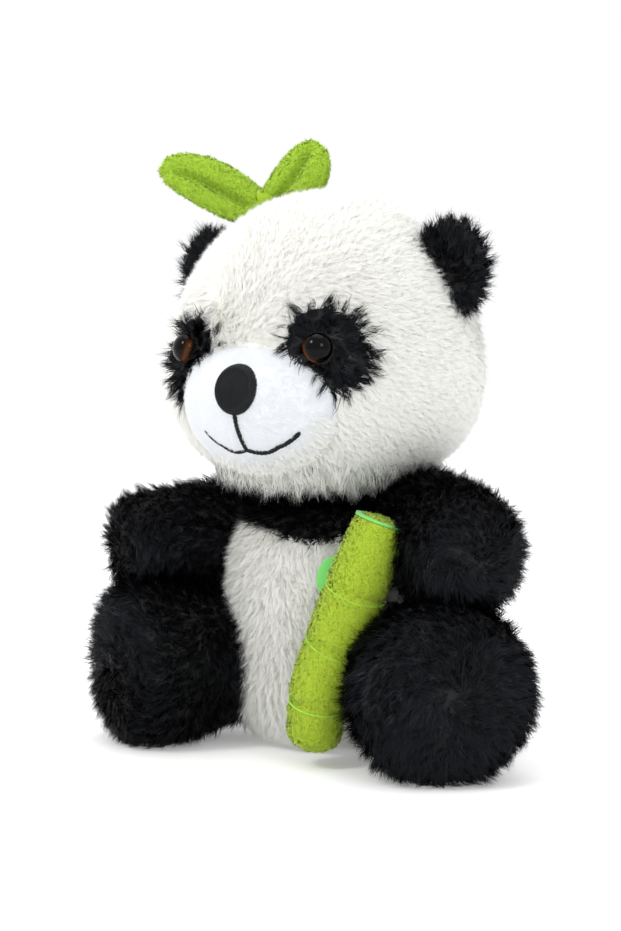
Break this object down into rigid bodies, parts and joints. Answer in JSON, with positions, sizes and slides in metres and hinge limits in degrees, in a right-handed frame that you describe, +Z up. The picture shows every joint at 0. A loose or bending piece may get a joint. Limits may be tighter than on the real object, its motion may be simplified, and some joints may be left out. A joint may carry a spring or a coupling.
{
  "type": "plush panda",
  "caption": "Sitting plush panda with a fur head, torso and limbs, safety eyes, an embroidered nose, a leaf bow and a stuffed bamboo stalk held at its left paw.",
  "frame": {"origin": "middle of the flat base of the torso, on the surface that the panda sits on", "axes": "+Z up, the panda faces -Y, its own left side is +X"},
  "size_m": [0.199, 0.141, 0.2594],
  "materials": {
    "white_fur": "long warm white pile, about 9 mm, slightly matted into tufts",
    "black_fur": "long black pile, about 9 mm, shaggy, with a faint cool sheen",
    "muzzle_plush": "short smooth cool white plush",
    "stuffing": "polyester fibre filling",
    "green_fleece": "lime green coral fleece, short curled nap",
    "mint_felt": "smooth mint green felt",
    "black_thread": "black satin embroidery thread",
    "mint_thread": "mint green thread",
    "green_thread": "green sewing thread",
    "white_thread": "white sewing thread",
    "eye_gloss": "clear dome over dark amber brown, glossy",
    "washer_plastic": "white nylon lock washer"
  },
  "bodies": {
    "torso": {"back_closing_stitches": "white_thread", "back_panel": "white_fur", "base_panel": "white_fur", "belly_panel": "white_fur", "chest_yoke": "black_fur", "shoulder_yoke": "black_fur", "torso_stuffing": "stuffing"},
    "neck": {"neck_wad": "stuffing", "neck_stitching": "white_thread"},
    "head": {"face_panel": "white_fur", "head_back_panel": "white_fur", "head_stuffing": "stuffing", "leaf_tack_stitches": "green_thread", "left_ear_back": "black_fur", "left_ear_front": "black_fur", "left_eye": "eye_gloss", "left_eye_patch": "black_fur", "left_eye_washer": "washer_plastic", "left_leaf_cover": "green_fleece", "left_leaf_wadding": "stuffing", "mouth_stitching": "black_thread", "muzzle_cover": "muzzle_plush", "muzzle_stuffing": "stuffing", "nose_embroidery": "black_thread", "right_ear_back": "black_fur", "right_ear_front": "black_fur", "right_eye": "eye_gloss", "right_eye_patch": "black_fur", "right_eye_washer": "washer_plastic", "right_leaf_cover": "green_fleece", "right_leaf_wadding": "stuffing"},
    "left_arm": {"left_arm_cover": "black_fur", "left_arm_stuffing": "stuffing"},
    "right_arm": {"right_arm_cover": "black_fur", "right_arm_stuffing": "stuffing"},
    "left_leg": {"left_leg_cover": "black_fur", "left_sole_panel": "black_fur", "left_leg_stuffing": "stuffing"},
    "right_leg": {"right_leg_cover": "black_fur", "right_sole_panel": "black_fur", "right_leg_stuffing": "stuffing"},
    "bamboo": {"bamboo_bottom_cap": "green_fleece", "bamboo_cover": "green_fleece", "bamboo_joint_stitches": "mint_thread", "bamboo_leaf": "mint_felt", "bamboo_stuffing": "stuffing", "bamboo_tack_stitches": "green_thread", "bamboo_top_cap": "mint_felt"}
  },
  "joints": [
    {"name": "head_turn", "type": "hinge", "parent": "torso", "child": "neck", "pos_m": [0, -0.004, 0.106], "axis": [0, 0, 1], "range_deg": [-15, 15], "stiffness_Nm_per_rad": 0.5},
    {"name": "head_nod", "type": "hinge", "parent": "neck", "child": "head", "pos_m": [0, -0.004, 0.106], "axis": [1, 0, 0], "range_deg": [-6, 6], "stiffness_Nm_per_rad": 1.5},
    {"name": "left_arm_raise", "type": "hinge", "parent": "torso", "child": "left_arm", "pos_m": [0.046, -0.004, 0.099], "axis": [-1, 0, 0], "range_deg": [0, 15], "stiffness_Nm_per_rad": 0.15},
    {"name": "right_arm_raise", "type": "hinge", "parent": "torso", "child": "right_arm", "pos_m": [-0.046, -0.004, 0.099], "axis": [-1, 0, 0], "range_deg": [0, 45], "stiffness_Nm_per_rad": 0.15},
    {"name": "left_leg_spread", "type": "hinge", "parent": "torso", "child": "left_leg", "pos_m": [0.055, -0.026, 0.033], "axis": [0, 0, 1], "range_deg": [0, 20], "stiffness_Nm_per_rad": 0.3},
    {"name": "right_leg_spread", "type": "hinge", "parent": "torso", "child": "right_leg", "pos_m": [-0.038, -0.032, 0.033], "axis": [0, 0, -1], "range_deg": [0, 20], "stiffness_Nm_per_rad": 0.3},
    {"name": "bamboo_hang", "type": "hinge", "parent": "left_arm", "child": "bamboo", "pos_m": [0.0435, -0.04754, 0.08784], "axis": [-1, 0, 0], "range_deg": [-15, 0]}
  ],
  "couplings": [
    {"joint": "bamboo_hang", "follows": "left_arm_raise", "ratio": -1}
  ]
}
